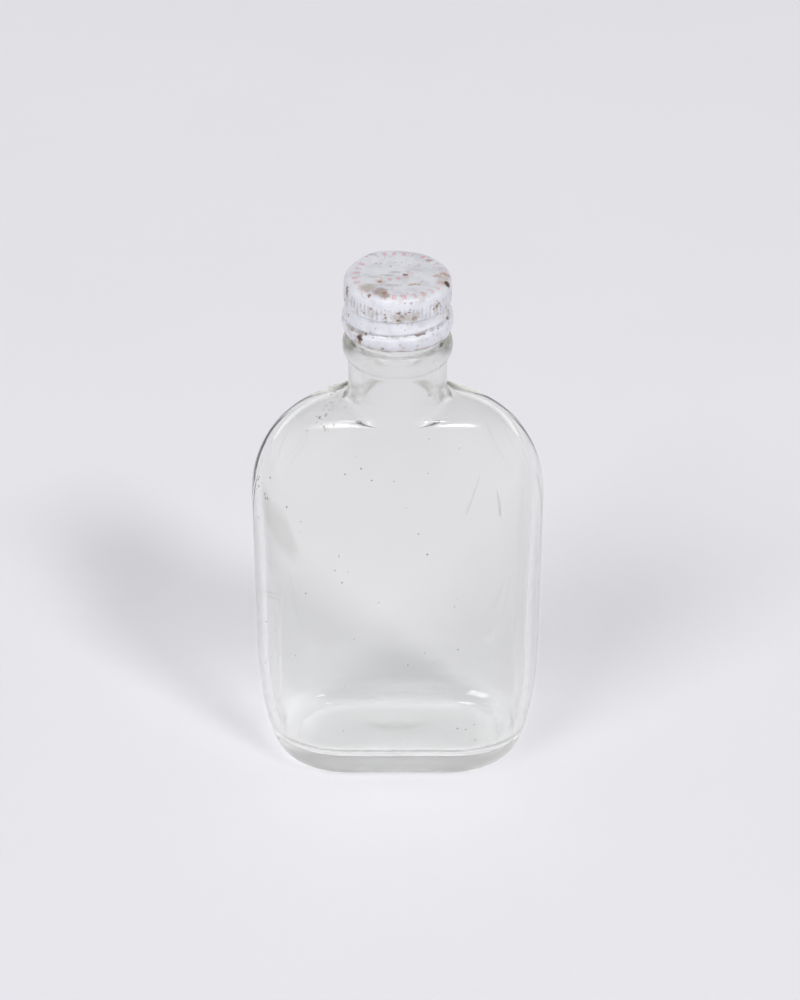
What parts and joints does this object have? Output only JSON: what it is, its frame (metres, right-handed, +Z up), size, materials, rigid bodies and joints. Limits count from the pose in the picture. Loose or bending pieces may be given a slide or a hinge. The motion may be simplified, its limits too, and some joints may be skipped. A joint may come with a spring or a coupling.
{
  "type": "medicine bottle",
  "caption": "Clear glass pocket-flask medicine bottle with flat panels, rounded shoulders, a collared screw neck and a white knurled tinplate screw cap with a cork liner.",
  "frame": {"origin": "middle of the base, on the surface the bottle stands on", "axes": "+Z up along the neck, +X across the width, front panel towards -Y"},
  "size_m": [0.08, 0.036, 0.1548],
  "materials": {
    "glass": "clear moulded soda glass with a faint green-grey tint, slightly uneven",
    "cap_enamel": "white lacquer on tinplate, worn along the knurls and rusted in spots",
    "cork": "pressed cork",
    "facing_paper": "waxed"
  },
  "bodies": {
    "bottle": {"glass_bottle": "glass"},
    "liner": {"liner_wad": "cork", "liner_facing": "facing_paper"},
    "cap": {"cap_shell": "cap_enamel"}
  },
  "joints": [
    {"name": "cap_lift", "type": "slide", "parent": "bottle", "child": "liner", "axis": [0, 0, 1], "range_m": [0, 0.01575]},
    {"name": "cap_turn", "type": "hinge", "parent": "liner", "child": "cap", "pos_m": [0, 0, 0.147], "axis": [0, 0, 1], "range_deg": [0, 1350]}
  ],
  "couplings": [
    {"joint": "cap_lift", "follows": "cap_turn", "m_per_rad": 0.00066845}
  ]
}
